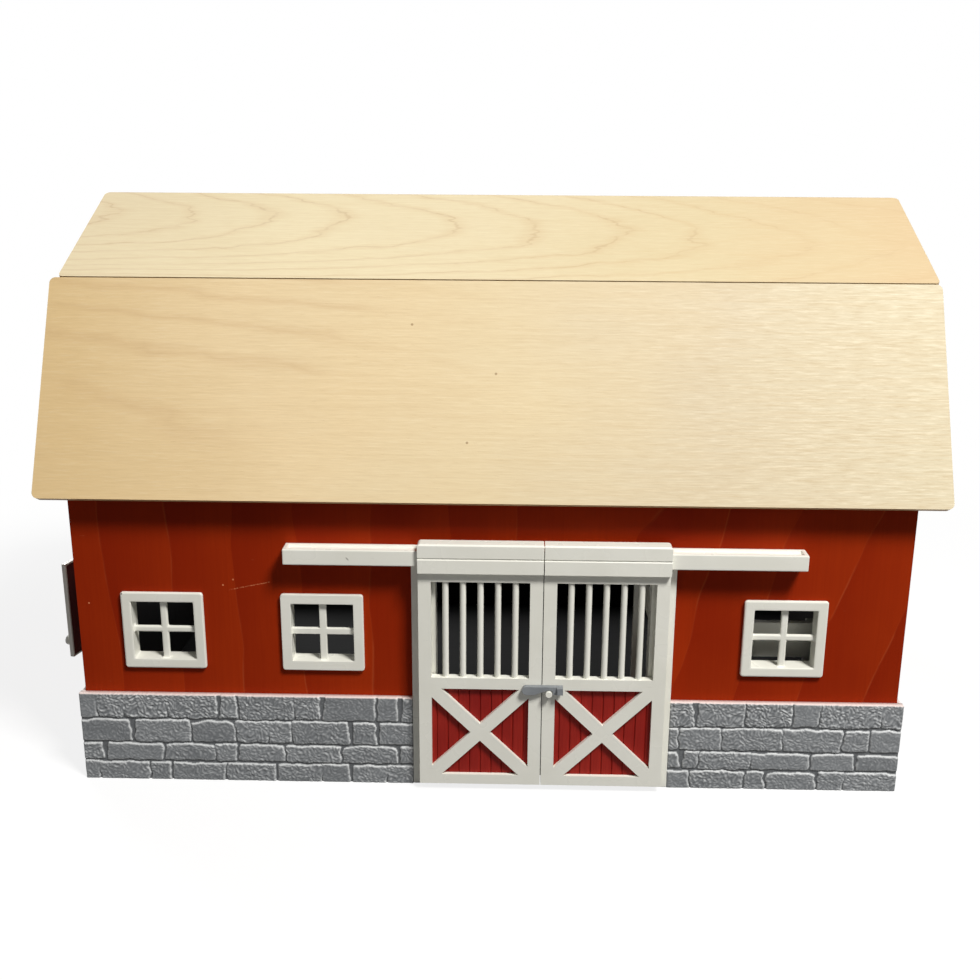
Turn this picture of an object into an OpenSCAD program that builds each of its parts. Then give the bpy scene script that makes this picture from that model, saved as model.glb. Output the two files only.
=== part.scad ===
// Wooden toy barn with sliding front doors, a gambrel roof, a moulded stone base and a side hatch.
// X runs along the barn, the front faces -Y and Z is up, in millimetres.
// The origin is on the ground, at the middle of the walls' length and depth.

/* [Barn body] */
// Length over the two gables
barn_length = 560; // [520:5:620]
// Depth from the face of the front wall to the open back
barn_depth = 330; // [300:5:380]
// Thickness of the wall plywood
wall_ply = 9; // [7:0.5:12]
// Thickness of the floor board
floor_ply = 6; // [4:0.5:9]
// Height of the rail that joins the gables at the back, under the roof
back_rail_height = 28; // [18:1:40]
// Height of the sill's top along the open back
back_sill_height = 36; // [20:1:60]

/* [Roof] */
// Thickness of the roof plywood
roof_ply = 6; // [4:0.5:8]
// Slope of the lower panels in degrees
lower_slope = 63.3; // [59:0.1:66]
// Slope of the upper panels in degrees
upper_slope = 24.1; // [20:0.1:30]
// Distance of the roof's break behind the wall's face
hip_inset = 52.5; // [46:0.5:64]
// Height of the roof's break, on its outer face
hip_height = 344.2; // [330:0.2:360]
// Reach of the eave in front of the wall's face
eave_reach = 15.5; // [10:0.5:22]
// Reach of the lower panels past each gable
lower_overhang = 17.6; // [10:0.1:36]
// Reach of the upper panels past each gable
upper_overhang = 14.6; // [10:0.1:36]
// Shift of the upper panels towards the right end
upper_roof_shift = 2; // [-3:0.5:3]
// Open joint between neighbouring roof panels
roof_joint = 1; // [0.4:0.2:2]
// Corner radius of the roof panels
roof_corner = 4; // [2:0.5:8]
// Width of the strips glued under the roof's joints
roof_strip = 14; // [10:1:18]

/* [Stone base] */
// Depth of the front stone panels, with their relief
front_stone_depth = 5.4; // [4.4:0.1:6]
// Depth of the stone panels on the gables, with their relief
side_stone_depth = 3.4; // [2.8:0.1:5]
// Height of the top course of stones
top_course = 18.5; // [16:0.5:22]
// Height of the second course
second_course = 18; // [14:0.5:20]
// Height of the third course
third_course = 14.5; // [12:0.5:18]
// Height of the bottom course
bottom_course = 14; // [12:0.5:18]
// Width of the joints between stones
stone_joint = 1.6; // [1:0.1:2.4]
// Height of the stones over their joints
stone_relief = 1.4; // [0.8:0.1:2]

/* [Windows] */
// Width of a window's flange
window_width = 56; // [50:0.5:62]
// Height of a window's flange
window_height = 55.4; // [50:0.2:62]
// Height of the windows' centres
window_level = 112; // [104:1:120]
// Centre of the window at the left end
left_window_x = -221.5; // [-230:0.5:-205]
// Centre of the window beside the doors
middle_window_x = -113; // [-125:0.5:-108]
// Centre of the window at the right end
right_window_x = 199; // [190:0.5:215]
// Width of a window's border
window_border = 6.8; // [5:0.2:9]
// Thickness of the border on the wall
window_flange = 3; // [2:0.2:4]
// Whole depth of a window, from its face to its inner end
window_depth = 13.3; // [12.2:0.1:16]
// Width of the upright glazing bar
window_mullion = 4.8; // [3:0.2:7]
// Width of the level glazing bar
window_muntin = 4.4; // [3:0.2:7]
// Distance of the glazing bars behind the border's face
window_bar_setback = 3; // [1:0.2:5]

/* [Doorway and track] */
// Centre of the doorway
door_center_x = 36.2; // [20:0.2:50]
// Width over the door frame's jambs
door_frame_width = 176.8; // [174:0.2:190]
// Width of the clear doorway
doorway_width = 144; // [120:1:150]
// Height of the clear doorway
doorway_height = 154; // [140:1:157]
// Thickness of the door frame on the wall
door_frame_proud = 5; // [3:0.2:5.2]
// Length of the track
track_length = 344.5; // [342:0.5:360]
// Height of the track's underside
track_level = 164.8; // [162:0.2:170]
// Height of the track itself
track_height = 10.8; // [9:0.2:14]
// Depth of the track in front of the wall
track_depth = 14; // [13:0.5:16]
// Depth of the groove in the track's top
track_groove_depth = 1.6; // [1.2:0.1:5]
// Thickness of the track's front lip and of its ends
track_lip = 3; // [2:0.2:4]

/* [Sliding doors] */
// Width of each door
door_width = 83; // [80:0.5:86]
// Gap between the two doors
door_gap = 0.6; // [0.4:0.1:1.5]
// Height of the doors' lower edge over the ground
door_bottom = 5; // [3:0.5:8]
// Distance of the doors' back from the wall's face
door_standoff = 7; // [6.6:0.1:8]
// Thickness of the doors
door_thickness = 6; // [5:0.2:7]
// Width of the doors' stiles
stile_width = 8.6; // [7:0.2:11]
// Height of the middle rail's lower edge
mid_rail_bottom = 76.9; // [70:0.1:84]
// Height of the middle rail
mid_rail_height = 8.1; // [7:0.1:12]
// Height of the bottom rail
bottom_rail_height = 7.2; // [5:0.2:10]
// Height of the top rail under the hanger
top_rail_height = 7; // [5:0.2:10]
// Number of round bars in each door
bar_count = 5; // [3:1:6]
// Diameter of the round bars
bar_diameter = 4.2; // [3:0.1:5]
// Width of the straps of the cross
strap_width = 9; // [6:0.5:12]
// Thickness of the ribbed red panels
panel_thickness = 2; // [1.6:0.1:2.4]
// Distance from one groove of a red panel to the next
board_pitch = 7.4; // [5:0.1:10]
// Thickness of the hanger's face over the track
hanger_face = 2.7; // [2:0.1:4]
// Thickness of the hanger's cover over the track
hanger_cover = 5.4; // [3:0.1:7]
// Thickness of the hanger's leg in the track's groove
hanger_leg = 2; // [1.4:0.1:3]
// Running gap between the hangers and the track
slide_gap = 0.3; // [0.2:0.05:0.5]

/* [Latch] */
// Thickness of the latch lever
latch_thickness = 3.6; // [2.5:0.1:5]
// Radius of the lever's round end
latch_radius = 2.95; // [2.5:0.05:3.5]
// Diameter of the peg that the latch drops over
peg_diameter = 4.6; // [4:0.1:5]
// Distance of the peg's centre from the gap between the doors
peg_offset = 4.6; // [4:0.1:5]
// Distance of the latch's pivot from the gap between the doors
pivot_offset = 6.2; // [5:0.1:7]
// Diameter of the pivot behind the lever
pivot_diameter = 2.4; // [2:0.1:2.6]
// Running gap round pivots and pins
pin_gap = 0.05; // [0.02:0.01:0.1]

/* [Side hatch] */
// Width of the hatch leaf
hatch_width = 60; // [50:1:70]
// Height of the hatch leaf
hatch_height = 70; // [60:1:80]
// Distance of the hatch's centre behind the front wall's face
hatch_inset = 58; // [50:1:90]
// Thickness of the hatch leaf
hatch_thickness = 3; // [2.6:0.1:4]
// Width of the leaf's border
hatch_border = 8; // [6:0.5:10]
// Thickness of the hatch frame on the gable
hatch_flange = 2.5; // [2:0.1:4]
// Radius of the hinge knuckle
knuckle_radius = 2.2; // [2:0.1:3]
// Diameter of the hinge pin
hinge_pin_diameter = 2; // [1.6:0.1:2.4]
// Angle at which the hatch stands ajar
hatch_ajar = 14; // [0:1:30]
// Radius of the knob
knob_radius = 3.5; // [2.5:0.1:3.8]
// Length of the knob
knob_length = 4; // [3:0.2:6]

/* [Stall fence] */
// Distance of the fence behind the front wall's face
fence_inset = 35; // [24:1:120]
// Distance of the fence's right end from the right gable
fence_end_gap = 33; // [20:1:60]
// Length of the fence
fence_length = 137; // [120:1:160]
// Height of the fence's posts
fence_height = 145; // [120:1:160]
// Thickness of the rails and of the posts
fence_thickness = 5; // [4:0.5:8]

/* [Hidden] */
$fn = 48;

// Colours of the materials
birch = [0.89, 0.78, 0.58];
red_stain = [0.52, 0.13, 0.05];
crimson = [0.50, 0.10, 0.10];
white_plastic = [0.82, 0.82, 0.78];
grey_plastic = [0.50, 0.51, 0.52];
stone_grey = [0.45, 0.46, 0.48];
charcoal = [0.16, 0.16, 0.16];

// Small values shared by many pieces
fit_gap = 0.2;
cut = 1;
weld = 0.5;

// Planes of the walls
front_y = -barn_depth / 2;
back_y = barn_depth / 2;
wall_back_y = front_y + wall_ply;
end_x = barn_length / 2;
room_x = end_x - wall_ply;

// Roof lines in the YZ plane, from the eave over the break to the ridge
hip = [front_y + hip_inset, hip_height];
eave = [front_y - eave_reach, hip_height - (hip_inset + eave_reach) * tan(lower_slope)];
ridge = [0, hip_height + (barn_depth / 2 - hip_inset) * tan(upper_slope)];
lower_run = (hip_inset + eave_reach) / cos(lower_slope);
upper_run = (barn_depth / 2 - hip_inset) / cos(upper_slope);
lower_roof_length = barn_length + 2 * lower_overhang;
upper_roof_length = barn_length + 2 * upper_overhang;
hip_miter = (lower_slope - upper_slope) / 2;
lower_inward = [sin(lower_slope), -cos(lower_slope)];
upper_inward = [sin(upper_slope), -cos(upper_slope)];
lower_along = [cos(lower_slope), sin(lower_slope)];
upper_along = [cos(upper_slope), sin(upper_slope)];
hip_inner = hip + roof_ply * (lower_inward + upper_inward) / (1 + lower_inward * upper_inward);
ridge_inner = ridge - [0, roof_ply / cos(upper_slope)];
wall_top = hip_height - hip_inset * tan(lower_slope) - roof_ply / cos(lower_slope);

// Stone courses from the top down, each stone's width from the left, read at the real size
stone_height = top_course + second_course + third_course + bottom_course;
course_heights = [top_course, second_course, third_course, bottom_course];
left_courses = [
    [12, 18, 31, 35, 15, 38, 18.5, 38.5, 16, 9],
    [36, 41, 31, 22, 17, 41, 19, 24],
    [15, 41, 37, 15, 34, 39, 40, 10],
    [10, 36, 15, 38, 36, 32, 20, 26, 18]
];
right_courses = [
    [18, 34, 32, 18, 43, 11],
    [7, 30, 42, 40, 19, 18],
    [9, 12, 36, 41, 31, 27],
    [16, 37, 16, 35, 19, 33]
];
stone_bevel = 0.8;
least_stone = 4 * stone_bevel;

// Windows
window_corner = 2;
window_lining = 2;
pane_width = window_width - 2 * window_border;
pane_height = window_height - 2 * window_border;
glazing_bar_depth = 3;

// Doorway, frame and track
frame_lining = 2;
frame_top = track_level;
track_top = track_level + track_height;
track_back = 3;
track_front_y = front_y - track_depth;

// Sliding doors
hanger_skirt = 3.8;
door_back_y = front_y - door_standoff;
door_front_y = door_back_y - door_thickness;
door_top = track_level - hanger_skirt;
left_door_x = door_center_x - door_gap / 2 - door_width;
right_door_x = door_center_x + door_gap / 2;
opening_width = door_width - 2 * stile_width;
grille_bottom = mid_rail_bottom + mid_rail_height;
grille_top = door_top - top_rail_height;
panel_bottom = door_bottom + bottom_rail_height;
panel_opening_height = mid_rail_bottom - panel_bottom;
bar_pitch = (opening_width - bar_count * bar_diameter) / (bar_count + 1) + bar_diameter;
rebate_lip = 1.6;
rebate_depth = door_thickness / 2;
strap_angle = atan(panel_opening_height / opening_width);
board_groove = 0.5;
hanger_front_y = track_front_y - slide_gap - hanger_face;
hanger_top = track_top + slide_gap + hanger_cover;
hanger_back_y = front_y - track_depth + track_lip + slide_gap + hanger_leg;
hanger_groove = 0.7;
hanger_chamfer = 1;
hanger_corner = 2.2;

// Latch
latch_gap = 0.3;
pivot_rise = 1.1;
peg_drop = 2.1;
peg_tip = 1.4;
notch_gap = 0.4;
paddle_reach = 4.3;
hook_drop = 0.7;
tab_rise = 0.3;
latch_back_y = door_front_y - latch_gap;
latch_front_y = latch_back_y - latch_thickness;
pivot_x = door_center_x - pivot_offset;
peg_x = door_center_x + peg_offset;
pivot_z = mid_rail_bottom + pivot_rise;
latch_top_z = pivot_z + latch_radius;
latch_end_x = pivot_x - paddle_reach;
peg_z = pivot_z - peg_drop;
notch_radius = peg_diameter / 2 + notch_gap;
hook_x = peg_x + notch_radius;
hook_width = 3.4;
tab_length = 3.4;
tab_reach = 2.4;
peg_reach = latch_gap + latch_thickness + peg_tip;
spigot_radius = 1.5;
spigot_length = 4;
clip_radius = 3;
clip_thickness = 0.8;

// Side hatch, seen from outside in its own frame: the gable's face is y = 0 and outward is -y
hatch_y = front_y + hatch_inset;
hatch_frame_margin = 2;
hatch_gap = 0.4;
hinge_out = hatch_flange + hatch_gap + knuckle_radius;
leaf_inner = hatch_flange + hatch_gap;
ear_height = 5;
ear_gap = 0.4;
hinge_pin_tip = 0.6;
hinge_pin_length = hatch_height + 2 * (ear_gap + ear_height + hinge_pin_tip);
hatch_panel_thickness = 1.4;
hatch_rim = 1.2;
knob_rise = 11;

// Stall fence
fence_y = front_y + fence_inset;
fence_right = room_x - fence_end_gap;
fence_left = fence_right - fence_length;
fence_post_width = 5;
fence_brace_width = 7;
fence_bay = 49;
fence_rail_height = 12;
lower_fence_rail = 84.5;
upper_fence_rail = 98.5;
fence_top_rail = 6;

// Plane rectangle with round corners, centred
module rounded_rect(w, h, r) {
    square([w - 2 * r, h], center = true);
    square([w, h - 2 * r], center = true);
    for (sx = [-1, 1], sy = [-1, 1])
        translate([sx * (w / 2 - r), sy * (h / 2 - r)]) circle(r);
}

// Stands a plane outline up in XZ, with its back at y and its depth growing towards the front
module upright(y, depth) {
    translate([0, y, 0]) rotate([90, 0, 0]) linear_extrude(depth) children();
}

// Extrudes a YZ outline along X
module along_x(x, length) {
    translate([x, 0, 0]) rotate([90, 0, 90]) linear_extrude(length) children();
}

// Plane rectangle that stands on the ground at the middle of the doorway
module portal(width, height) {
    translate([door_center_x - width / 2, 0]) square([width, height]);
}

module floor_board() {
    color(charcoal) translate([-room_x, wall_back_y, 0])
        cube([2 * room_x, back_y - wall_back_y, floor_ply]);
}

module front_wall() {
    color(red_stain) upright(wall_back_y, wall_ply) difference() {
        translate([-end_x, 0]) square([barn_length, wall_top]);
        for (x = [left_window_x, middle_window_x, right_window_x])
            translate([x, window_level]) square([
                pane_width + 2 * (window_lining + fit_gap),
                pane_height + 2 * (window_lining + fit_gap)
            ], center = true);
        translate([0, -cut]) portal(
            doorway_width + 2 * (frame_lining + fit_gap),
            doorway_height + frame_lining + fit_gap + cut
        );
    }
}

// Gambrel outline of a gable, under the roof
module gable_outline() {
    polygon([
        [wall_back_y, 0],
        [wall_back_y, wall_top + wall_ply * tan(lower_slope)],
        hip_inner,
        ridge_inner,
        [-hip_inner[0], hip_inner[1]],
        [back_y, wall_top],
        [back_y, 0]
    ]);
}

module left_gable() {
    color(red_stain) difference() {
        along_x(-end_x, wall_ply) gable_outline();
        on_left_gable() upright(wall_ply + cut, wall_ply + 2 * cut) square([
            hatch_width - 2 * hatch_border + 2 * (frame_lining + fit_gap),
            hatch_height - 2 * hatch_border + 2 * (frame_lining + fit_gap)
        ], center = true);
    }
}

module right_gable() {
    color(red_stain) along_x(room_x, wall_ply) gable_outline();
}

module back_rail() {
    color(red_stain) translate([-room_x, back_y - wall_ply, wall_top - back_rail_height])
        cube([2 * room_x, wall_ply, back_rail_height]);
}

// Low board on the floor's back edge
module back_sill() {
    color(charcoal) translate([-room_x, back_y - wall_ply, floor_ply])
        cube([2 * room_x, wall_ply, back_sill_height - floor_ply]);
}

// Strip under the ridge, pitched on top like the roof
module ridge_beam() {
    half = roof_strip / 2;
    shoulder = ridge_inner[1] - half * tan(upper_slope);
    color(birch) along_x(-room_x, 2 * room_x) polygon([
        [-half, shoulder - roof_strip],
        [half, shoulder - roof_strip],
        [half, shoulder],
        ridge_inner,
        [-half, shoulder]
    ]);
}

// Strip glued in the angle of the roof's break
module purlin() {
    along_x(-room_x, 2 * room_x) polygon([
        hip_inner,
        hip_inner - roof_strip * lower_along,
        hip_inner + roof_strip * (upper_along - lower_along),
        hip_inner + roof_strip * upper_along
    ]);
}

module front_purlin() {
    color(birch) purlin();
}

module back_purlin() {
    color(birch) mirror([0, 1, 0]) purlin();
}

// Roof panel on a slope from its lower outer edge, mitred at its lower and upper ends
module roof_panel(start, slope, run, length, low_miter, high_miter) {
    translate([0, start[0], start[1]]) rotate([slope, 0, 0]) intersection() {
        translate([-length / 2, 0, 0]) rotate([90, 0, 90]) linear_extrude(length) polygon([
            [0, 0],
            [roof_ply * tan(low_miter), -roof_ply],
            [run - roof_ply * tan(high_miter), -roof_ply],
            [run, 0]
        ]);
        translate([0, run / 2, -roof_ply - cut]) linear_extrude(roof_ply + 2 * cut)
            rounded_rect(length, run, roof_corner);
    }
}

module lower_panel() {
    roof_panel(eave, lower_slope, lower_run - roof_joint / 2, lower_roof_length, 0, hip_miter);
}

module upper_panel() {
    translate([upper_roof_shift, 0, 0])
        roof_panel(hip + roof_joint / 2 * upper_along, upper_slope, upper_run - roof_joint,
            upper_roof_length, hip_miter, upper_slope);
}

module front_lower_roof() {
    color(birch) lower_panel();
}

module front_upper_roof() {
    color(birch) upper_panel();
}

module back_upper_roof() {
    color(birch) mirror([0, 1, 0]) upper_panel();
}

module back_lower_roof() {
    color(birch) mirror([0, 1, 0]) lower_panel();
}

// Sum of a list's first values
function sum_to(list, count) = count <= 0 ? 0 : list[count - 1] + sum_to(list, count - 1);

// One block of stone with bevelled edges, its corner at the origin and its face up
module stone_block(w, h, rise) {
    intersection() {
        rotate([90, 0, 90]) linear_extrude(w)
            polygon([[0, -weld], [0, 0], [stone_bevel, rise], [h - stone_bevel, rise], [h, 0], [h, -weld]]);
        translate([0, h, 0]) rotate([90, 0, 0]) linear_extrude(h)
            polygon([[0, -weld], [0, 0], [stone_bevel, rise], [w - stone_bevel, rise], [w, 0], [w, -weld]]);
    }
}

// Moulded panel of stone courses, lying in XY with its face up
module stone_panel(length, depth, courses) {
    plate = depth - stone_relief;
    cube([length, stone_height, plate]);
    for (row = [0:3]) {
        widths = concat(courses[row], courses[row]);
        base = stone_height - sum_to(course_heights, row + 1);
        for (i = [0:len(widths) - 1]) {
            start = sum_to(widths, i);
            stop = min(start + widths[i], length);
            room = i < len(widths) - 1 ? length - start - widths[i] : 0;
            last = room < least_stone + stone_joint;
            end = last ? length : stop;
            if (start < length - least_stone - stone_joint)
                translate([start + stone_joint / 2, base + stone_joint / 2, plate])
                    stone_block(end - start - stone_joint, course_heights[row] - stone_joint, stone_relief);
        }
    }
}

module front_stone(x, length, courses) {
    translate([x, front_y, 0]) rotate([90, 0, 0]) stone_panel(length, front_stone_depth, courses);
}

module front_left_stone() {
    x = -end_x - side_stone_depth;
    color(stone_grey) front_stone(x, door_center_x - door_frame_width / 2 - x, left_courses);
}

module front_right_stone() {
    x = door_center_x + door_frame_width / 2;
    color(stone_grey) front_stone(x, end_x + side_stone_depth - x, right_courses);
}

module left_side_stone() {
    color(stone_grey) translate([-end_x, back_y, 0]) rotate([90, 0, -90])
        stone_panel(barn_depth, side_stone_depth, left_courses);
}

module right_side_stone() {
    color(stone_grey) translate([end_x, front_y, 0]) rotate([90, 0, 90])
        stone_panel(barn_depth, side_stone_depth, right_courses);
}

module door_frame() {
    color(white_plastic) {
        upright(front_y, door_frame_proud) difference() {
            portal(door_frame_width, frame_top);
            translate([0, -cut]) portal(doorway_width, doorway_height + cut);
        }
        upright(wall_back_y, wall_ply + weld) difference() {
            portal(doorway_width + 2 * frame_lining, doorway_height + frame_lining);
            translate([0, -cut]) portal(doorway_width, doorway_height + cut);
        }
    }
}

module door_track() {
    groove_width = track_depth - track_back - track_lip;
    color(white_plastic) difference() {
        translate([door_center_x - track_length / 2, track_front_y, track_level])
            cube([track_length, track_depth, track_height]);
        translate([door_center_x - track_length / 2 + track_lip, track_front_y + track_lip,
            track_top - track_groove_depth])
            cube([track_length - 2 * track_lip, groove_width, track_groove_depth + cut]);
    }
}

// Straps of the cross in the lower opening, centred on it
module cross_straps() {
    intersection() {
        square([opening_width + 2 * weld, panel_opening_height + 2 * weld], center = true);
        for (side = [-1, 1])
            rotate(side * strap_angle)
                square([opening_width + panel_opening_height, strap_width], center = true);
    }
}

// White moulding of a door, from its left edge: stiles, rails, cross and round bars
module door_leaf(x, hole_x, hole_z, hole_radius) {
    middle = door_width / 2;
    panel_middle = panel_bottom + panel_opening_height / 2;
    difference() {
        translate([x, 0, 0]) {
            upright(door_back_y, door_thickness) difference() {
                translate([0, door_bottom]) square([door_width, door_top - door_bottom]);
                translate([stile_width, grille_bottom]) square([opening_width, grille_top - grille_bottom]);
                translate([stile_width, panel_bottom]) square([opening_width, panel_opening_height]);
            }
            upright(door_back_y - rebate_depth, door_thickness - rebate_depth)
                translate([middle, panel_middle]) cross_straps();
            for (i = [1:bar_count])
                translate([stile_width + i * bar_pitch - bar_diameter / 2,
                    door_back_y - door_thickness / 2, grille_bottom - weld])
                    cylinder(h = grille_top - grille_bottom + 2 * weld, d = bar_diameter);
        }
        translate([x, 0, 0]) upright(door_back_y + cut, rebate_depth + cut)
            translate([middle, panel_middle]) square([
                opening_width + 2 * rebate_lip,
                panel_opening_height + 2 * rebate_lip
            ], center = true);
        translate([hole_x, door_back_y + cut, hole_z]) rotate([90, 0, 0])
            cylinder(h = door_thickness + 2 * cut, r = hole_radius);
    }
}

// Red panel with upright grooves, let into the back of a door
module door_panel(x) {
    width = opening_width + 2 * rebate_lip - 2 * fit_gap;
    height = panel_opening_height + 2 * rebate_lip - 2 * fit_gap;
    grooves = floor(opening_width / board_pitch / 2);
    color(crimson)
        translate([x + door_width / 2, door_back_y - rebate_depth, panel_bottom + panel_opening_height / 2])
            difference() {
                translate([-width / 2, 0, -height / 2]) cube([width, panel_thickness, height]);
                for (i = [-grooves:grooves])
                    translate([i * board_pitch, 0, -height / 2 - cut]) rotate([0, 0, 45])
                        translate([-board_groove, -board_groove, 0])
                            cube([2 * board_groove, 2 * board_groove, height + 2 * cut]);
            }
}

// Hood that hooks over the track and carries a door, its round corner at the outer end
module door_hanger(x, outer_side) {
    groove_z = (hanger_top + door_top) / 2;
    round_x = outer_side > 0 ? x + door_width - hanger_corner : x + hanger_corner;
    profile = [
        [hanger_front_y, door_top],
        [door_back_y, door_top],
        [door_back_y, track_level - slide_gap],
        [hanger_front_y + hanger_face, track_level - slide_gap],
        [hanger_front_y + hanger_face, track_top + slide_gap],
        [hanger_back_y - hanger_leg, track_top + slide_gap],
        [hanger_back_y - hanger_leg, track_top - track_groove_depth + slide_gap],
        [hanger_back_y, track_top - track_groove_depth + slide_gap],
        [hanger_back_y, track_top + slide_gap],
        [hanger_back_y + hanger_leg, track_top + slide_gap],
        [hanger_back_y + hanger_leg, hanger_top],
        [hanger_front_y + hanger_chamfer, hanger_top],
        [hanger_front_y, hanger_top - hanger_chamfer],
        [hanger_front_y, groove_z + hanger_groove],
        [hanger_front_y + hanger_groove, groove_z],
        [hanger_front_y, groove_z - hanger_groove]
    ];
    color(white_plastic) intersection() {
        along_x(x, door_width) polygon(profile);
        upright(front_y, 2 * track_depth) {
            translate([x, door_top - cut])
                square([door_width, hanger_top - door_top + cut - hanger_corner]);
            translate([outer_side > 0 ? x : x + hanger_corner, door_top])
                square([door_width - hanger_corner, hanger_top - door_top]);
            translate([round_x, hanger_top - hanger_corner]) circle(hanger_corner);
        }
    }
}

module left_door_leaf() {
    color(white_plastic) door_leaf(left_door_x, pivot_x, pivot_z, pivot_diameter / 2 + pin_gap);
}

module left_door_panel() {
    door_panel(left_door_x);
}

module left_door_hanger() {
    door_hanger(left_door_x, -1);
}

module right_door_leaf() {
    color(white_plastic) door_leaf(right_door_x, peg_x, peg_z, spigot_radius + pin_gap);
}

module right_door_panel() {
    door_panel(right_door_x);
}

module right_door_hanger() {
    door_hanger(right_door_x, 1);
}

// Outline of the latch: a round paddle, an arm over the peg and a hook behind it
module latch_outline() {
    arm_bottom = peg_z + notch_radius * 0.7;
    difference() {
        union() {
            translate([latch_end_x, pivot_z]) circle(latch_radius);
            polygon([
                [latch_end_x, pivot_z - latch_radius],
                [pivot_x + 1, pivot_z - latch_radius],
                [peg_x - notch_radius, arm_bottom],
                [hook_x, arm_bottom],
                [hook_x, peg_z - hook_drop],
                [hook_x + hook_width, peg_z - hook_drop],
                [hook_x + hook_width, latch_top_z],
                [latch_end_x, latch_top_z]
            ]);
        }
        translate([peg_x, peg_z]) circle(notch_radius);
    }
}

module latch_lever() {
    color(grey_plastic) {
        upright(latch_back_y, latch_thickness) latch_outline();
        translate([hook_x + hook_width - weld, latch_front_y - tab_reach, peg_z + tab_rise])
            cube([tab_length + weld, latch_thickness + tab_reach, latch_top_z - peg_z - tab_rise]);
        translate([pivot_x, door_back_y + clip_thickness + latch_gap, pivot_z]) rotate([90, 0, 0])
            cylinder(h = clip_thickness + 2 * latch_gap + door_thickness + weld, d = pivot_diameter);
    }
}

// Push-on ring that keeps the lever's pivot in the door
module latch_clip() {
    color(grey_plastic) translate([pivot_x, door_back_y + latch_gap + clip_thickness, pivot_z])
        rotate([90, 0, 0]) difference() {
            cylinder(h = clip_thickness, r = clip_radius);
            translate([0, 0, -cut]) cylinder(h = clip_thickness + 2 * cut, d = pivot_diameter);
        }
}

module latch_peg() {
    color(white_plastic) translate([peg_x, door_front_y, peg_z]) rotate([90, 0, 0]) {
        cylinder(h = peg_reach, d = peg_diameter);
        translate([0, 0, -spigot_length]) cylinder(h = spigot_length + weld, r = spigot_radius);
    }
}

// Moulded window: border on the wall, lining through it and crossed glazing bars
module window_unit(x) {
    color(white_plastic) translate([x, 0, window_level]) {
        upright(front_y, window_flange) difference() {
            rounded_rect(window_width, window_height, window_corner);
            square([pane_width, pane_height], center = true);
        }
        upright(front_y - window_flange + window_depth, window_depth - window_flange + weld) difference() {
            square([pane_width + 2 * window_lining, pane_height + 2 * window_lining], center = true);
            square([pane_width, pane_height], center = true);
        }
        upright(front_y - window_flange + window_bar_setback + glazing_bar_depth, glazing_bar_depth) {
            square([window_mullion, pane_height + 2 * weld], center = true);
            square([pane_width + 2 * weld, window_muntin], center = true);
        }
    }
}

module left_window() {
    window_unit(left_window_x);
}

module middle_window() {
    window_unit(middle_window_x);
}

module right_window() {
    window_unit(right_window_x);
}

// Places the hatch's pieces on the left gable, with their own x towards the barn's front
module on_left_gable() {
    translate([-end_x, hatch_y, window_level]) rotate([0, 0, -90]) children();
}

// Turns the hatch's moving pieces about the hinge pin, from closed to ajar
module swung_open() {
    translate([-hatch_width / 2, -hinge_out, 0]) rotate([0, 0, -hatch_ajar])
        translate([hatch_width / 2, hinge_out, 0]) children();
}

module hatch_frame() {
    outer_width = hatch_width + 2 * hatch_frame_margin;
    outer_height = hatch_height + 2 * (hatch_frame_margin + ear_height);
    open_width = hatch_width - 2 * hatch_border;
    open_height = hatch_height - 2 * hatch_border;
    color(white_plastic) on_left_gable() difference() {
        union() {
            upright(0, hatch_flange) difference() {
                square([outer_width, outer_height], center = true);
                square([open_width, open_height], center = true);
            }
            upright(wall_ply, wall_ply + weld) difference() {
                square([open_width + 2 * frame_lining, open_height + 2 * frame_lining], center = true);
                square([open_width, open_height], center = true);
            }
            for (side = [-1, 1])
                translate([-hatch_width / 2, 0, side * (hatch_height / 2 + ear_gap + ear_height / 2)]) {
                    translate([-knuckle_radius, -hinge_out, -ear_height / 2])
                        cube([2 * knuckle_radius, hinge_out, ear_height]);
                    translate([0, -hinge_out, -ear_height / 2])
                        cylinder(h = ear_height, r = knuckle_radius);
                }
        }
        translate([-hatch_width / 2, -hinge_out, -hinge_pin_length / 2 - cut])
            cylinder(h = hinge_pin_length + 2 * cut, d = hinge_pin_diameter);
    }
}

// Outline of the panel let into the leaf's back, drawn in by a gap
module hatch_back(gap) {
    translate([hatch_frame_margin / 2, 0]) square([
        hatch_width - hatch_frame_margin - 2 * (hatch_rim + gap),
        hatch_height - 2 * (hatch_rim + gap)
    ], center = true);
}

module hatch_leaf() {
    color(white_plastic) on_left_gable() swung_open() difference() {
        union() {
            upright(-leaf_inner, hatch_thickness) difference() {
                translate([hatch_frame_margin / 2, 0])
                    square([hatch_width - hatch_frame_margin, hatch_height], center = true);
                square([hatch_width - 2 * hatch_border, hatch_height - 2 * hatch_border], center = true);
            }
            translate([-hatch_width / 2, -hinge_out, -hatch_height / 2])
                cylinder(h = hatch_height, r = knuckle_radius);
        }
        upright(-leaf_inner + cut, hatch_panel_thickness + cut) hatch_back(0);
        translate([-hatch_width / 2, -hinge_out, -hatch_height / 2 - cut])
            cylinder(h = hatch_height + 2 * cut, d = hinge_pin_diameter + 2 * pin_gap);
    }
}

module hatch_panel() {
    color(crimson) on_left_gable() swung_open()
        upright(-leaf_inner, hatch_panel_thickness) hatch_back(fit_gap);
}

module hatch_knob() {
    color(white_plastic) on_left_gable() swung_open()
        translate([(hatch_width - hatch_border) / 2, -leaf_inner - hatch_thickness, knob_rise])
            translate([0, 0, -hatch_height / 2]) rotate([90, 0, 0])
                cylinder(h = knob_length, r = knob_radius);
}

module hatch_hinge_pin() {
    color(grey_plastic) on_left_gable() translate([-hatch_width / 2, -hinge_out, -hinge_pin_length / 2])
        cylinder(h = hinge_pin_length, d = hinge_pin_diameter);
}

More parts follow.
